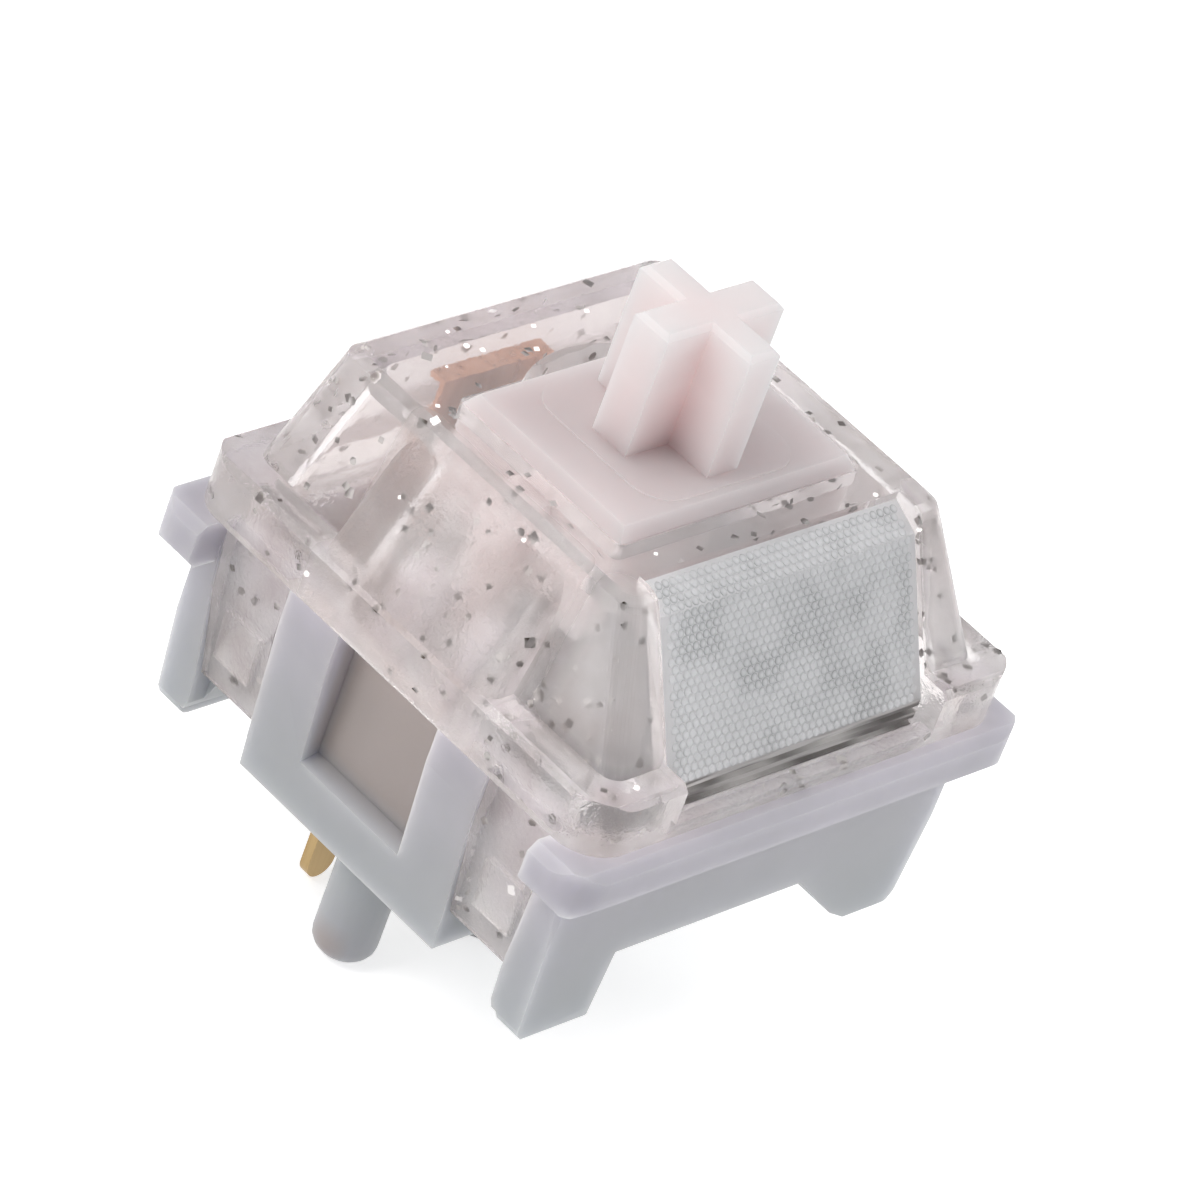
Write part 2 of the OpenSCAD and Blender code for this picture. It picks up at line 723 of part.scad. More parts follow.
module moving_terminal() {
    z0 = floor_z + fit_gap;
    z1 = z0 + sheet_t;
    x0 = pin_a[0] - pin_w / 2;
    color([0.85, 0.68, 0.35]) union() {
        box([x0, upright_y, z0], [1, upright_y + sheet_t, bend_z + 1.4]);
        box([x0, pin_a[1] - pin_t / 2, z0], [x0 + pin_w, upright_y + sheet_t, z1]);
        pin_blade(pin_a, z1);
    }
}

// Thin leaf with a window round each formed nose and a folded upper lip
module contact_leaf() {
    y1 = leaf_y + leaf_t;
    run = 0.6;
    color([0.85, 0.5, 0.32]) union() {
        difference() {
            translate([0, leaf_y + leaf_t / 2, 0]) along_y(leaf_t) difference() {
                polygon([[leaf_left, bend_z + 0.05], [1, bend_z + 0.05], [1, bend_z + 1.2],
                    [leaf_right, bend_z + 1.6], [leaf_right, point_z + 1], [0.9, point_z + 1.4],
                    [0.7, leaf_top], [leaf_left, leaf_top]]);
                for (x = [-nose_x, nose_x])
                    translate([x - nose_w / 2, nose_z - run]) square([nose_w, 2 * run]);
            }
        }
        for (x = [-nose_x, nose_x]) translate([x, 0, 0]) along_x(nose_w)
            polygon([[leaf_y, nose_z - run - 0.1], [nose_tip_y, nose_z - 0.12],
                [nose_tip_y, nose_z + 0.12], [leaf_y, nose_z + run + 0.1],
                [y1, nose_z + run + 0.1], [nose_tip_y + leaf_t, nose_z + 0.06],
                [nose_tip_y + leaf_t, nose_z - 0.06], [y1, nose_z - run - 0.1]]);
        box([leaf_left, leaf_y, leaf_top - leaf_t], [0.7, leaf_y + 0.55, leaf_top]);
    }
}

module moving_contact_point() {
    color([0.9, 0.75, 0.3])
        translate([0, leaf_y, point_z]) rotate([90, 0, 0]) cylinder(h = point_t, r = point_r);
}

bottom_housing();
top_housing();
stem();
return_spring();
light_lens();
fixed_terminal();
fixed_contact_point();
moving_terminal();
contact_leaf();
moving_contact_point();
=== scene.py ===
import math
import random

import bmesh
import bpy
import numpy as np
from mathutils import Matrix, Vector
from mathutils.bvhtree import BVHTree


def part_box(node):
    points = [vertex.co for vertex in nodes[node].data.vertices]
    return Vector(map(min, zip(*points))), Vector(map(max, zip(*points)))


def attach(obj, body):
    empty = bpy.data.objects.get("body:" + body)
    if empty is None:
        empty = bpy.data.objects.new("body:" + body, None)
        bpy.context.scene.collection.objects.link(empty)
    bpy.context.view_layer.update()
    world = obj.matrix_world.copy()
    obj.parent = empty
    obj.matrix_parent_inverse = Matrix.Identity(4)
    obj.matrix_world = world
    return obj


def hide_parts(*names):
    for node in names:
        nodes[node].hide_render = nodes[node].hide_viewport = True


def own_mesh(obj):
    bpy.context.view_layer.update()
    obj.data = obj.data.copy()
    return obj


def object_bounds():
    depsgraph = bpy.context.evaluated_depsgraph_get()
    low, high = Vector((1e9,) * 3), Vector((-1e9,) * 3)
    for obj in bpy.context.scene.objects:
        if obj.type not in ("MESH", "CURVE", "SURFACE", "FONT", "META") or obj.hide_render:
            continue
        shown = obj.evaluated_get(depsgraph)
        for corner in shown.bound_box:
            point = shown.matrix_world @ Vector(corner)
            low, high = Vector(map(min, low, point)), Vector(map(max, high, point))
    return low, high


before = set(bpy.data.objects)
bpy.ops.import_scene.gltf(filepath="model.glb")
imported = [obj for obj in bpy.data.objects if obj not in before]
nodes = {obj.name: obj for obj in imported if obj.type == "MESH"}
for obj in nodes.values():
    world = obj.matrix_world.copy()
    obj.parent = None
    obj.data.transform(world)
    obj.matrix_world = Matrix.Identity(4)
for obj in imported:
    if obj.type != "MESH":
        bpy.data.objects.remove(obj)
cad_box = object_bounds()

scene = bpy.context.scene
scene.view_settings.view_transform = "Standard"


# Camera at the photograph's place and angle
RIGHT = Vector((0.7012201, -0.6494766, 0.2940586))
DOWN = Vector((-0.2302600, -0.5966644, -0.7687470))
FORWARD = Vector((0.6747375, 0.4713509, -0.5679416))
EYE = Vector((-0.1226989, -0.0857203, 0.1097493))
FOCAL = 223.669
SENSOR = 36.0


def make_camera():
    data = bpy.data.cameras.new("camera")
    data.sensor_width = SENSOR
    data.lens = FOCAL
    data.clip_start = 0.01
    data.clip_end = 10
    cam = bpy.data.objects.new("camera", data)
    scene.collection.objects.link(cam)
    m = Matrix((RIGHT, -DOWN, -FORWARD)).transposed().to_4x4()
    m.translation = EYE
    cam.matrix_world = m
    scene.camera = cam
    return cam


make_camera()


# Direction from the eye through a pixel of the 1200 pixel picture
def sight(u, v):
    k = SENSOR / FOCAL / 1200
    return (FORWARD + RIGHT * (u - 600) * k + DOWN * (v - 600) * k).normalized()


# Small helpers for node materials
class Mat:
    def __init__(self, name):
        self.m = bpy.data.materials.new(name)
        self.m.use_nodes = True
        self.t = self.m.node_tree
        self.t.nodes.clear()
        self.out = self.t.nodes.new("ShaderNodeOutputMaterial")

    def node(self, kind, **values):
        n = self.t.nodes.new(kind)
        for k, v in values.items():
            if hasattr(n, k) and k not in n.inputs:
                setattr(n, k, v)
            else:
                n.inputs[k].default_value = v
        return n

    def link(self, a, b):
        self.t.links.new(a, b)

    def coords(self):
        return self.node("ShaderNodeTexCoord").outputs["Object"]

    def noise(self, scale, detail=3.0, rough=0.5, where=None):
        n = self.node("ShaderNodeTexNoise")
        n.inputs["Scale"].default_value = scale
        n.inputs["Detail"].default_value = detail
        n.inputs["Roughness"].default_value = rough
        self.link(where or self.coords(), n.inputs["Vector"])
        return n.outputs["Fac"]

    def span(self, value, a, b, c, d):
        n = self.node("ShaderNodeMapRange")
        for k, v in zip(("From Min", "From Max", "To Min", "To Max"), (a, b, c, d)):
            n.inputs[k].default_value = v
        self.link(value, n.inputs["Value"])
        return n.outputs["Result"]

    def ramp(self, value, stops):
        n = self.node("ShaderNodeValToRGB")
        e = n.color_ramp.elements
        while len(e) < len(stops):
            e.new(0.5)
        for el, (p, c) in zip(e, stops):
            el.position = p
            el.color = (*c, 1)
        self.link(value, n.inputs["Fac"])
        return n.outputs["Color"]

    def bump(self, height, strength, distance, normal=None):
        n = self.node("ShaderNodeBump")
        n.inputs["Strength"].default_value = strength
        n.inputs["Distance"].default_value = distance
        self.link(height, n.inputs["Height"])
        if normal:
            self.link(normal, n.inputs["Normal"])
        return n.outputs["Normal"]

    def math(self, operation, a, b=0.0):
        n = self.node("ShaderNodeMath", operation=operation)
        for i, v in enumerate((a, b)):
            if isinstance(v, float):
                n.inputs[i].default_value = v
            else:
                self.link(v, n.inputs[i])
        return n.outputs[0]

    def along(self, axis, a, b):
        # 0 at the place a of an axis and 1 at b, in metres
        n = self.node("ShaderNodeSeparateXYZ")
        self.link(self.coords(), n.inputs[0])
        return self.span(n.outputs[axis], a, b, 0, 1)

    def rise(self, axis, a, b):
        # 0 at the distance a from the middle plane of an axis and 1 at b, in metres
        n = self.node("ShaderNodeSeparateXYZ")
        self.link(self.coords(), n.inputs[0])
        return self.span(self.math("ABSOLUTE", n.outputs[axis]), a, b, 0, 1)

    def blend(self, fac, low, high):
        # colour low where fac is 0 and colour high where it is 1
        n = self.node("ShaderNodeMix", data_type="RGBA")
        for i, v in ((0, fac), (6, low), (7, high)):
            if isinstance(v, tuple):
                n.inputs[i].default_value = (*v, 1)
            else:
                self.link(v, n.inputs[i])
        return n.outputs[2]

    def mix(self, fac, a, b):
        n = self.node("ShaderNodeMixShader")
        if isinstance(fac, float):
            n.inputs["Fac"].default_value = fac
        else:
            self.link(fac, n.inputs["Fac"])
        self.link(a, n.inputs[1])
        self.link(b, n.inputs[2])
        return n.outputs[0]

    def lit_through(self, shader, colour):
        # light passes through the wall instead of leaving a hard shadow
        path = self.node("ShaderNodeLightPath")
        clear = self.node("ShaderNodeBsdfTransparent")
        clear.inputs["Color"].default_value = (*colour, 1)
        return self.mix(path.outputs["Is Shadow Ray"], shader, clear.outputs[0])

    def principled(self, **values):
        n = self.t.nodes.new("ShaderNodeBsdfPrincipled")
        for k, v in values.items():
            key = k.replace("_", " ")
            n.inputs[key].default_value = (*v, 1) if key in ("Base Color", "Emission Color") else v
        return n

    def surface(self, socket):
        self.link(socket, self.out.inputs["Surface"])
        return self.m


def rgb(*c):
    # sRGB 0-255 to linear
    return tuple(((v / 255 + 0.055) / 1.055) ** 2.4 if v > 10 else v / 255 / 12.92 for v in c)


# Clear plastic with a faint haze: smooth on top, with a moulded grain on the rim, legs and hoods
def clear_plastic():
    a = Mat("clear_glitter_plastic")
    hood = a.math("MULTIPLY", a.rise("X", 0.0049, 0.0054), a.rise("Y", 0.0034, 0.0030))
    low = a.rise("Z", 0.0082, 0.0077)
    frost = a.math("MAXIMUM", low, hood)
    # the flanks beside the lens are a little cloudy
    flank = a.math("MULTIPLY", a.along("Y", -0.0034, -0.0042), a.rise("X", 0.0045, 0.0049))
    flank = a.math("MULTIPLY", flank, a.rise("Z", 0.0077, 0.0082))
    patches = a.noise(520, 2, 0.5)
    fine = a.node("ShaderNodeBump")
    fine.inputs["Distance"].default_value = 0.00003
    a.link(a.span(frost, 0, 1, 0.1, 0.9), fine.inputs["Strength"])
    a.link(a.noise(9000, 2, 0.6), fine.inputs["Height"])
    soft = a.node("ShaderNodeBump")
    soft.inputs["Distance"].default_value = 0.00025
    a.link(a.span(frost, 0, 1, 0.1, 0.5), soft.inputs["Strength"])
    a.link(patches, soft.inputs["Height"])
    a.link(soft.outputs[0], fine.inputs["Normal"])
    glass = a.principled(Transmission_Weight=1.0, IOR=1.5)
    cloudy = a.ramp(patches, [(0.36, rgb(238, 231, 229)), (0.5, rgb(250, 246, 245)), (0.62, rgb(255, 253, 252))])
    a.link(a.blend(frost, rgb(251, 247, 247), cloudy), glass.inputs["Base Color"])
    a.link(fine.outputs[0], glass.inputs["Normal"])
    rough = a.math("MAXIMUM", a.span(frost, 0, 1, 0.05, 0.1), a.span(hood, 0, 1, 0.0, 0.22))
    a.link(rough, glass.inputs["Roughness"])
    front = a.node("ShaderNodeBsdfDiffuse")
    through = a.node("ShaderNodeBsdfTranslucent")
    for n in (front, through):
        a.link(cloudy, n.inputs["Color"])
        a.link(fine.outputs[0], n.inputs["Normal"])
    haze = a.mix(0.5, front.outputs[0], through.outputs[0])
    veil = a.math("ADD", a.span(frost, 0, 1, 0.21, 0.18), a.span(hood, 0, 1, 0.0, 0.17))
    veil = a.math("ADD", veil, a.span(flank, 0, 1, 0.0, 0.24))
    body = a.mix(veil, glass.outputs["BSDF"], haze)
    return a.surface(a.lit_through(body, (0.94, 0.92, 0.92)))


def milky_plastic(name, low, high, radius, roughness, lower_tone_and_shade, z0, z1, recess_shade=None):
    a = Mat(name)
    tone = a.noise(300, 3, 0.55)
    grain = a.noise(6500, 2, 0.6)
    p = a.principled(Subsurface_Weight=1.0, Subsurface_Radius=radius, Subsurface_Scale=1.0,
                     IOR=1.46, Specular_IOR_Level=0.5)
    colour = a.ramp(tone, [(0.35, low), (0.7, high)])
    # the colour changes with height, from the lower colour at z0 to the main one at z1; on the stem this lower
    # colour is painted shade on the deck and the foot of the cross
    colour = a.blend(a.rise("Z", z0, z1), lower_tone_and_shade, colour)
    if recess_shade:
        # painted shade: the back of the recess in the side panel is painted darker and warmer, for the shade in
        # the recess and the dark inside seen through its thin back
        recess_shade_mask = a.math("MULTIPLY", a.rise("Y", 0.0021, 0.0016), a.rise("X", 0.00665, 0.0064))
        recess_shade_mask = a.math("MULTIPLY", recess_shade_mask, a.rise("Z", 0.0019, 0.0025))
        colour = a.blend(a.math("MULTIPLY", recess_shade_mask, a.rise("X", 0.0056, 0.0060)), colour, recess_shade)
    a.link(colour, p.inputs["Base Color"])
    a.link(a.span(tone, 0.3, 0.7, roughness - 0.05, roughness + 0.07), p.inputs["Roughness"])
    a.link(a.bump(grain, 0.12, 0.00001, a.bump(tone, 0.1, 0.00003)), p.inputs["Normal"])
    return a.surface(p.outputs["BSDF"])


def metal(name, low, high, roughness, brushed=True):
    a = Mat(name)
    where = a.node("ShaderNodeMapping")
    where.inputs["Scale"].default_value = (4000, 4000, 260) if brushed else (900, 900, 900)
    a.link(a.coords(), where.inputs["Vector"])
    streak = a.noise(1.0, 3, 0.6, where.outputs["Vector"])
    p = a.principled(Metallic=1.0)
    a.link(a.ramp(streak, [(0.3, low), (0.7, high)]), p.inputs["Base Color"])
    a.link(a.span(streak, 0.3, 0.7, roughness - 0.06, roughness + 0.1), p.inputs["Roughness"])
    a.link(a.bump(streak, 0.15, 0.00001), p.inputs["Normal"])
    return a.surface(p.outputs["BSDF"])


def lens_plastic(name, veil, roughness, shaded_dome_feet=False):
    a = Mat(name)
    tone = a.noise(350, 3, 0.5)
    glass = a.principled(Transmission_Weight=1.0, IOR=1.49, Roughness=roughness)
    front = a.node("ShaderNodeBsdfDiffuse")
    through = a.node("ShaderNodeBsdfTranslucent")
    normal = a.bump(a.noise(4200, 2, 0.6), 0.15, 0.00002)
    tint = a.ramp(tone, [(0.35, rgb(240, 240, 241)), (0.7, rgb(248, 248, 249))])
    # painted shade: dark and light stripes are painted along the foot that stands behind the clear rim, for the
    # shaded slots there
    slot_shade_lines = a.node("ShaderNodeMapping")
    slot_shade_lines.inputs["Scale"].default_value = (420, 160, 5200)
    a.link(a.coords(), slot_shade_lines.inputs["Vector"])
    slot_shade = a.ramp(a.noise(1.0, 1, 0.5, slot_shade_lines.outputs["Vector"]), [(0.42, rgb(150, 146, 145)), (0.6, rgb(232, 229, 228))])
    tint = a.blend(a.rise("Z", 0.00735, 0.00725), tint, slot_shade)
    if shaded_dome_feet:
        # painted shade: each dome is painted darker round its foot, where the domes meet, and more so in patches
        height = a.node("ShaderNodeAttribute", attribute_name="dome_height").outputs["Fac"]
        dome_foot_shade = a.ramp(a.noise(700, 1, 0.5), [(0.45, rgb(246, 246, 247)), (0.66, rgb(205, 206, 207))])
        tint = a.blend(height, dome_foot_shade, tint)
    a.link(tint, glass.inputs["Base Color"])
    for n in (front, through):
        a.link(tint, n.inputs["Color"])
        a.link(normal, n.inputs["Normal"])
    a.link(normal, glass.inputs["Normal"])
    haze = a.mix(0.4, front.outputs[0], through.outputs[0])
    body = a.mix(veil, glass.outputs["BSDF"], haze)
    return a.surface(a.lit_through(body, (0.8, 0.82, 0.81)))


# Flakes from dark brown grey to bright, each with its own tone
def flake_metal():
    a = Mat("glitter_flake")
    tone = a.noise(3400, 0, 0.5)
    p = a.principled(Metallic=0.8, Roughness=0.42)
    a.link(a.ramp(tone, [(0.34, rgb(82, 74, 70)), (0.42, rgb(122, 117, 114)), (0.52, rgb(152, 149, 147)),
                         (0.6, rgb(196, 194, 192))]), p.inputs["Base Color"])
    return a.surface(p.outputs["BSDF"])


CLEAR = clear_plastic()
# painted shade: the last colour, rgb(176, 166, 162), is painted into the recess of the side panel
MILKY_BASE = milky_plastic("milky_base_plastic", rgb(183, 181, 186), rgb(197, 194, 200),
                           (0.0016, 0.0016, 0.0018), 0.36, rgb(180, 184, 185), 0.0, 0.0055,
                           rgb(176, 166, 162))
# painted shade: the deck and the foot of the cross are painted darker, in rgb(217, 208, 208) below z 0.0118
MILKY_STEM = milky_plastic("milky_stem_plastic", rgb(247, 226, 225), rgb(251, 233, 232),
                           (0.0024, 0.0021, 0.0021), 0.34, rgb(217, 208, 208), 0.0118, 0.0138)
LENS = lens_plastic("frosted_lens_plastic", 0.75, 0.22)
# painted shade round the foot of each dome
DOME = lens_plastic("lens_dome_plastic", 0.72, 0.15, shaded_dome_feet=True)
BRASS = metal("terminal_brass_metal", rgb(172, 144, 100), rgb(188, 162, 118), 0.3)
COPPER = metal("copper_leaf_metal", rgb(216, 150, 112), rgb(240, 184, 148), 0.3)
GOLD = metal("contact_gold_metal", rgb(196, 160, 70), rgb(236, 204, 120), 0.22, False)
STEEL = metal("spring_steel_wire", rgb(150, 152, 156), rgb(206, 208, 212), 0.22, False)
FLAKE = flake_metal()
SPARKLE = metal("bright_glitter_metal", rgb(246, 245, 243), rgb(255, 255, 255), 0.3, False)


def paint(obj, mat):
    for i in range(len(obj.data.materials)):
        obj.data.materials[i] = mat
    if not obj.data.materials:
        obj.data.materials.append(mat)


def soften(obj, width, angle=28, segments=3):
    weld = obj.modifiers.new("weld", "WELD")
    weld.merge_threshold = 2e-7
    bev = obj.modifiers.new("edges", "BEVEL")
    bev.width = width
    bev.segments = segments
    bev.limit_method = "ANGLE"
    bev.angle_limit = math.radians(angle)
    bev.use_clamp_overlap = True
    bev.harden_normals = True


for name, mat, width in (
    ("top_housing", CLEAR, 0.00012),
    ("bottom_housing", MILKY_BASE, 0.00014),
    ("stem", MILKY_STEM, 0.00008),
    ("light_lens", LENS, 0.00003),
    ("fixed_terminal", BRASS, 0.00003),
    ("moving_terminal", BRASS, 0.00003),
    ("contact_leaf", COPPER, 0.00002),
    ("fixed_contact_point", GOLD, 0.00002),
    ("moving_contact_point", GOLD, 0.00002),
):
    paint(nodes[name], mat)
    if name in ("bottom_housing", "stem", "top_housing"):
        soften(nodes[name], width)


def new_piece(name, mesh_data, mat, body):
    obj = bpy.data.objects.new(name, mesh_data)
    scene.collection.objects.link(obj)
    obj.data.materials.append(mat)
    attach(obj, body)
    return obj


# Return spring: smooth wire with a closed turn at each end
def make_spring():
    lo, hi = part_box("return_spring")
    wire = 0.00015
    turns = 11
    mean = (hi.x - lo.x) / 2 - wire
    z0, z1 = lo.z + wire, hi.z - wire
    closed = 2 * wire * 1.12
    opened = (z1 - z0 - 2 * closed) / (turns - 2)
    steps, sides = 40, 12
    verts, faces = [], []
    rings = turns * steps
    for i in range(rings + 1):
        t = i / steps
        if t < 1:
            rise = t * closed
        elif t > turns - 1:
            rise = closed + (turns - 2) * opened + (t - turns + 1) * closed
        else:
            rise = closed + (t - 1) * opened
        a = 2 * math.pi * t
        for k in range(sides):
            b = 2 * math.pi * k / sides
            q = mean + wire * math.cos(b)
            verts.append((q * math.cos(a), q * math.sin(a), z0 + rise + wire * math.sin(b)))
    for i in range(rings):
        for k in range(sides):
            n = (k + 1) % sides
            faces.append((i * sides + k, (i + 1) * sides + k, (i + 1) * sides + n, i * sides + n))
    faces.append(tuple(range(sides)))
    faces.append(tuple(rings * sides + k for k in reversed(range(sides))))
    m = bpy.data.meshes.new("spring_wire")
    m.from_pydata(verts, [], faces)
    m.shade_smooth()
    obj = new_piece("spring_wire", m, STEEL, "base")
    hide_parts("return_spring")
    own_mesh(obj)
    return obj


make_spring()


KEY = Vector((-0.35, 0.12, 0.42))
PLASTIC_IOR = 1.5

# Sparkles, turned so that they mirror the key light: pixel and radius in metres
SPARKLES = ((448, 331, 0.00007), (467, 345, 0.00009), (483, 349, 0.00009), (537, 348, 0.0001),
            (534, 325, 0.00009), (587, 310, 0.00009), (447, 366, 0.00005), (523, 540, 0.00008),
            (637, 787, 0.0001), (735, 536, 0.00009), (656, 553, 0.00007), (918, 530, 0.00007),
            (306, 574, 0.00009), (876, 494, 0.00008), (438, 405, 0.00008), (399, 497, 0.00006))

# Flakes that stand out in the photograph: pixel and radius in hundredths of a millimetre
MARKS = ((530, 643, 15), (547, 645, 9), (640, 762, 14), (232, 568, 10), (918, 521, 12), (521, 532, 11),
         (404, 496, 9), (299, 567, 10), (346, 486, 11), (487, 756, 10), (336, 380, 9), (352, 401, 10),
         (700, 548, 9), (735, 537, 10), (651, 719, 9), (600, 705, 8), (642, 716, 7), (398, 592, 8),
         (424, 655, 8), (372, 610, 7), (330, 409, 7), (309, 378, 7), (381, 440, 9), (337, 440, 8),
         (353, 461, 9), (405, 529, 9), (255, 511, 8), (280, 500, 7), (267, 553, 8), (488, 532, 7),
         (489, 502, 9), (510, 473, 10), (489, 586, 9), (468, 617, 8), (447, 615, 8), (437, 568, 7),
         (431, 532, 8), (421, 593, 7), (449, 643, 10), (423, 638, 8), (506, 656, 8), (520, 664, 8),
         (552, 724, 9), (559, 701, 8), (610, 700, 10), (608, 730, 9), (589, 738, 10), (586, 761, 9),
         (598, 761, 8), (624, 606, 9), (625, 626, 9), (644, 624, 9), (575, 668, 8), (616, 660, 7),
         (490, 738, 8), (805, 521, 10), (773, 533, 8), (772, 817, 7), (955, 690, 8), (931, 560, 8))


# Glitter flakes held inside the walls of the clear housing
def make_flakes():
    bm = bmesh.new()
    bm.from_mesh(nodes["top_housing"].data)
    tree = BVHTree.FromBMesh(bm)
    share = np.cumsum([f.calc_area() for f in bm.faces])
    share /= share[-1]
    bm.faces.ensure_lookup_table()
    rnd = random.Random(41)
    up = Vector((0.237, 0.911, 0.337)).normalized()
    dull, bright = bmesh.new(), bmesh.new()
    thick = 0.000004
    total = 300

    def inside(p):
        hits, at = 0, p.copy()
        while hits < 24:
            loc = tree.ray_cast(at, up)[0]
            if loc is None:
                break
            hits += 1
            at = loc + up * 2e-6
        return hits % 2 == 1

    def flake(out, c, axis, size):
        a = axis.orthogonal().normalized()
        b = axis.cross(a)
        spin = rnd.random() * math.pi
        a, b = a * math.cos(spin) + b * math.sin(spin), b * math.cos(spin) - a * math.sin(spin)
        sides = 6 if rnd.random() < 0.2 else 4
        ring = []
        for s in (-1, 1):
            ring.append([out.verts.new(c + (a * math.cos(2 * math.pi * k / sides)
                                            + b * math.sin(2 * math.pi * k / sides)) * size
                                       + axis * s * thick) for k in range(sides)])
        out.faces.new(list(reversed(ring[0])))
        out.faces.new(ring[1])
        for k in range(sides):
            j = (k + 1) % sides
            out.faces.new((ring[0][k], ring[0][j], ring[1][j], ring[1][k]))

    def lean(n, amount):
        return (n + Vector([rnd.gauss(0, amount) for _ in range(3)])).normalized()

    def bent(way, n):
        # direction inside the plastic of a ray that leaves its face towards way
        flat = (way - n * way.dot(n)) / PLASTIC_IOR
        return flat + n * math.sqrt(1 - flat.length_squared)

    for u, v, size in MARKS:
        loc, n = tree.ray_cast(EYE, sight(u, v))[:2]
        if loc is not None:
            flake(dull, loc - n * 0.000012, lean(n, 0.03), size * 1.2e-5)
    for u, v, size in SPARKLES:
        loc, n = tree.ray_cast(EYE, sight(u, v))[:2]
        if loc is not None:
            half = bent(-sight(u, v), n) + (KEY - loc).normalized()
            flake(bright, loc - n * (size * 0.4 + 0.00002), half.normalized(), size)
    made = 0
    for _ in range(20000):
        f = bm.faces[int(np.searchsorted(share, rnd.random()))]
        v = [x.co for x in f.verts]
        u, w = rnd.random(), rnd.random()
        if u + w > 1:
            u, w = 1 - u, 1 - w
        size = 0.00011 + (0.00004 if rnd.random() < 0.7 else 0.00009) * rnd.random()
        p = v[0] + (v[1] - v[0]) * u + (v[2] - v[0]) * w
        frosted = p.z > 0.0077 and abs(p.x) > 0.0049 and p.y < 0.0034
        depth, tilt = (0.000014, 0.03) if frosted else (size * 0.5 + 0.00003 + rnd.random() * 0.0003, 0.35)
        c = p - f.normal * depth
        near = tree.find_nearest(c)[3]
        if near < min(depth * 0.9, size * 0.5) or not inside(c):
            continue
        flake(bright if rnd.random() < 0.06 else dull, c, lean(f.normal, tilt), size)
        made += 1
        if made == total:
            break
    bm.free()
    for out, name, mat in ((dull, "glitter_flakes", FLAKE), (bright, "glitter_sparkles", SPARKLE)):
        m = bpy.data.meshes.new(name)
        out.to_mesh(m)
        out.free()
        new_piece(name, m, mat, "base")


make_flakes()


# Fine hexagonal array of small domes on the sloping face of the lens and its shoulder
def make_domes():
    lo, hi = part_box("light_lens")
    near = 2e-5
    points = [v.co for v in nodes["light_lens"].data.vertices]
    foot_z = max(p.z for p in points if p.y < lo.y + near)
    bend = min((p for p in points if p.z > foot_z + near), key=lambda p: p.y)
    profile = [Vector((0, lo.y, foot_z)), Vector((0, bend.y, bend.z)), Vector((0, hi.y, hi.z))]
    half_w = (hi.x - lo.x) / 2
    pitch = 0.00024
    r = pitch / 2
    row_step = pitch * math.sqrt(3) / 2
    low_rise, bead_rise = 0.000028, 0.00007
    edge = 0.00016
    sides = 8
    out = bmesh.new()
    height = out.verts.layers.float.new("dome_height")
    across = Vector((1, 0, 0))
    row = 0
    for a, b in zip(profile, profile[1:]):
        along = (b - a).normalized()
        out_n = Vector((0, -along.z, along.y))
        s = r
        while s < (b - a).length - r:
            rise = low_rise if row else bead_rise
            x = (row % 2) * r - int((half_w - edge) / pitch) * pitch
            while x < half_w - edge:
                c = a + along * s + across * x
                rings = []
                for q, h in ((1.0, 0.0), (0.72, 0.55), (0.36, 0.9)):
                    rings.append([])
                    for k in range(sides):
                        turn = 2 * math.pi * k / sides
                        way = across * math.cos(turn) + along * math.sin(turn)
                        vert = out.verts.new(c + way * r * q + out_n * (rise * h - 1e-6))
                        vert[height] = h
                        rings[-1].append(vert)
                tip = out.verts.new(c + out_n * rise)
                tip[height] = 1.0
                for g in (0, 1):
                    for k in range(sides):
                        j = (k + 1) % sides
                        out.faces.new((rings[g][k], rings[g][j], rings[g + 1][j], rings[g + 1][k]))
                for k in range(sides):
                    out.faces.new((rings[2][k], rings[2][(k + 1) % sides], tip))
                out.faces.new(list(reversed(rings[0])))
                x += pitch
            s += row_step
            row += 1
    bmesh.ops.recalc_face_normals(out, faces=out.faces)
    for f in out.faces:
        f.smooth = True
    m = bpy.data.meshes.new("lens_domes")
    out.to_mesh(m)
    out.free()
    return new_piece("lens_domes", m, DOME, "base")


make_domes()


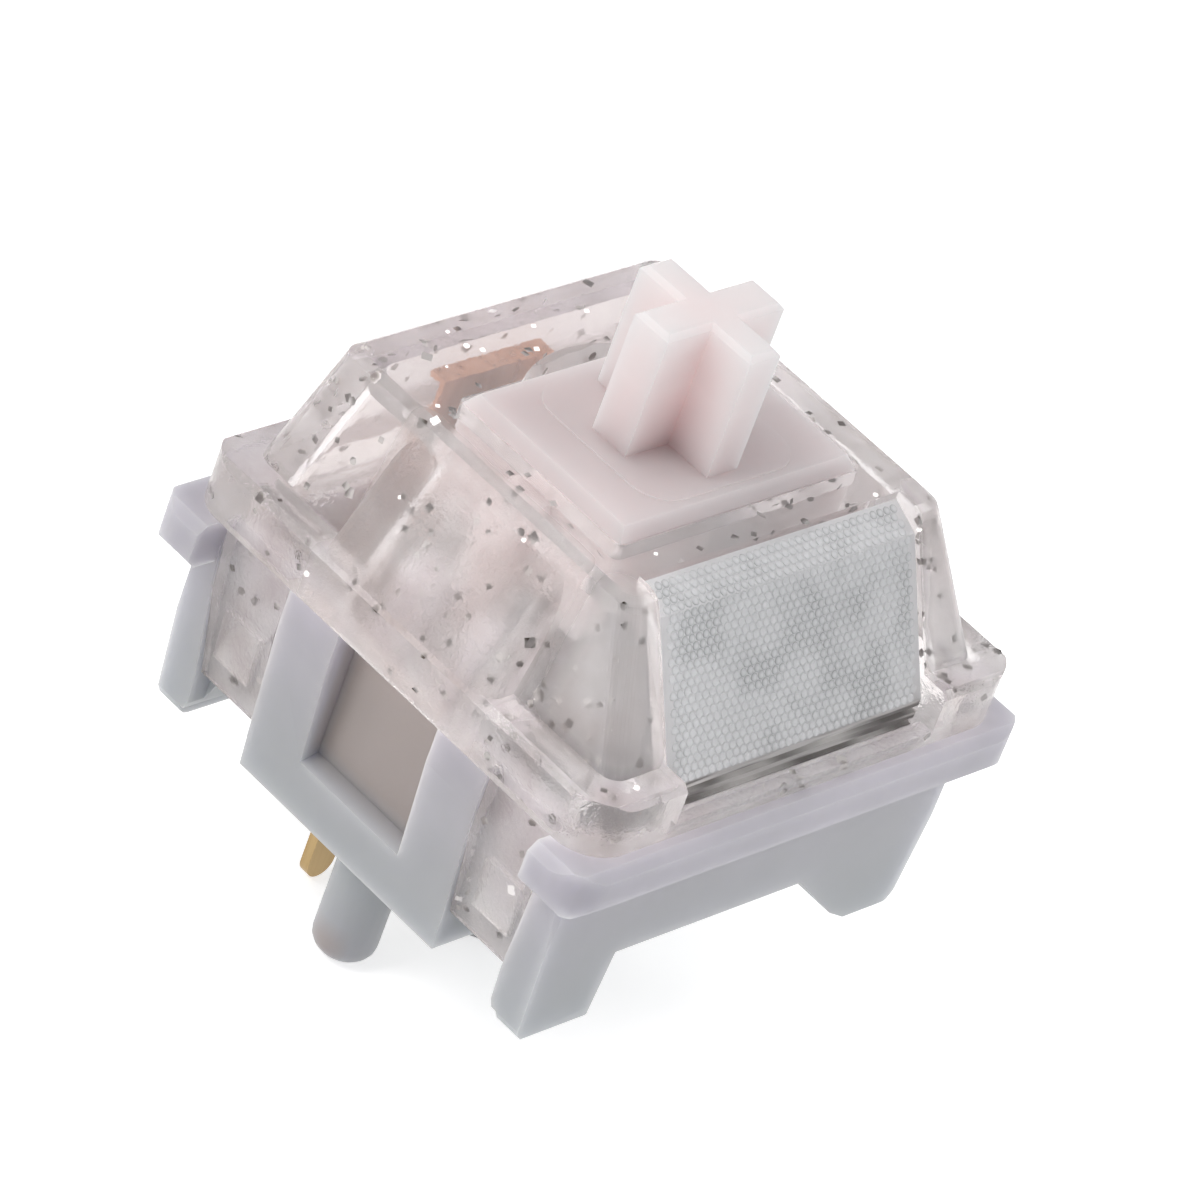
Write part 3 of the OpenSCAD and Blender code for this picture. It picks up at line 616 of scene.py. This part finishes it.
# Pale floor under the post and pins
def make_floor():
    z = cad_box[0].z
    bm = bmesh.new()
    s = 3.0
    for x, y in ((-s, -s), (s, -s), (s, s), (-s, s)):
        bm.verts.new((x, y, z))
    bm.faces.new(bm.verts)
    m = bpy.data.meshes.new("floor")
    bm.to_mesh(m)
    bm.free()
    a = Mat("floor_white")
    d = a.node("ShaderNodeBsdfDiffuse")
    a.link(a.ramp(a.noise(30, 2), [(0.3, rgb(240, 240, 240)), (0.7, rgb(243, 243, 243))]), d.inputs["Color"])
    path = a.node("ShaderNodeLightPath")
    m1 = a.node("ShaderNodeMath", operation="MAXIMUM")
    a.link(path.outputs["Is Camera Ray"], m1.inputs[0])
    a.link(path.outputs["Is Glossy Ray"], m1.inputs[1])
    m2 = a.node("ShaderNodeMath", operation="MAXIMUM")
    a.link(m1.outputs[0], m2.inputs[0])
    a.link(path.outputs["Is Transmission Ray"], m2.inputs[1])
    m3 = a.node("ShaderNodeMath", operation="MULTIPLY")
    a.link(m2.outputs[0], m3.inputs[0])
    m3.inputs[1].default_value = 0.62
    e = a.node("ShaderNodeEmission")
    a.link(m3.outputs[0], e.inputs["Strength"])
    add = a.node("ShaderNodeAddShader")
    a.link(d.outputs[0], add.inputs[0])
    a.link(e.outputs[0], add.inputs[1])
    a.surface(add.outputs[0])
    obj = bpy.data.objects.new("floor", m)
    scene.collection.objects.link(obj)
    obj.data.materials.append(a.m)


make_floor()


# Plain soft studio light
def area(name, place, size, power, colour=(1, 1, 1), target=(0, 0, 0.005)):
    d = bpy.data.lights.new(name, "AREA")
    d.shape = "RECTANGLE"
    d.size, d.size_y = size
    d.energy = power
    d.color = colour
    o = bpy.data.objects.new(name, d)
    scene.collection.objects.link(o)
    o.location = place
    o.rotation_mode = "QUATERNION"
    o.rotation_quaternion = (Vector(target) - Vector(place)).to_track_quat("-Z", "Y")
    return o


area("key_top_left", KEY, (0.22, 0.22), 0.95, (1, 0.97, 0.96))
area("fill_right", (0.3, -0.4, 0.3), (0.4, 0.4), 0.62, (0.98, 0.98, 1))
area("back_top", (0.0, 0.36, 0.5), (0.4, 0.25), 0.75)
area("glint_left", (-0.43, 0.24, 0.08), (0.06, 0.06), 0.12, (1, 0.98, 0.96))
area("glint_back", (-0.27, 0.42, 0.08), (0.1, 0.08), 0.14)
area("edge_right", (0.42, -0.14, 0.42), (0.2, 0.12), 0.42)

world = bpy.data.worlds.new("studio")
scene.world = world
world.use_nodes = True
wt = world.node_tree
wt.nodes.clear()
wo = wt.nodes.new("ShaderNodeOutputWorld")
bg = wt.nodes.new("ShaderNodeBackground")
bg.inputs["Color"].default_value = (0.93, 0.94, 0.96, 1)
bg.inputs["Strength"].default_value = 0.42
wt.links.new(bg.outputs[0], wo.inputs["Surface"])
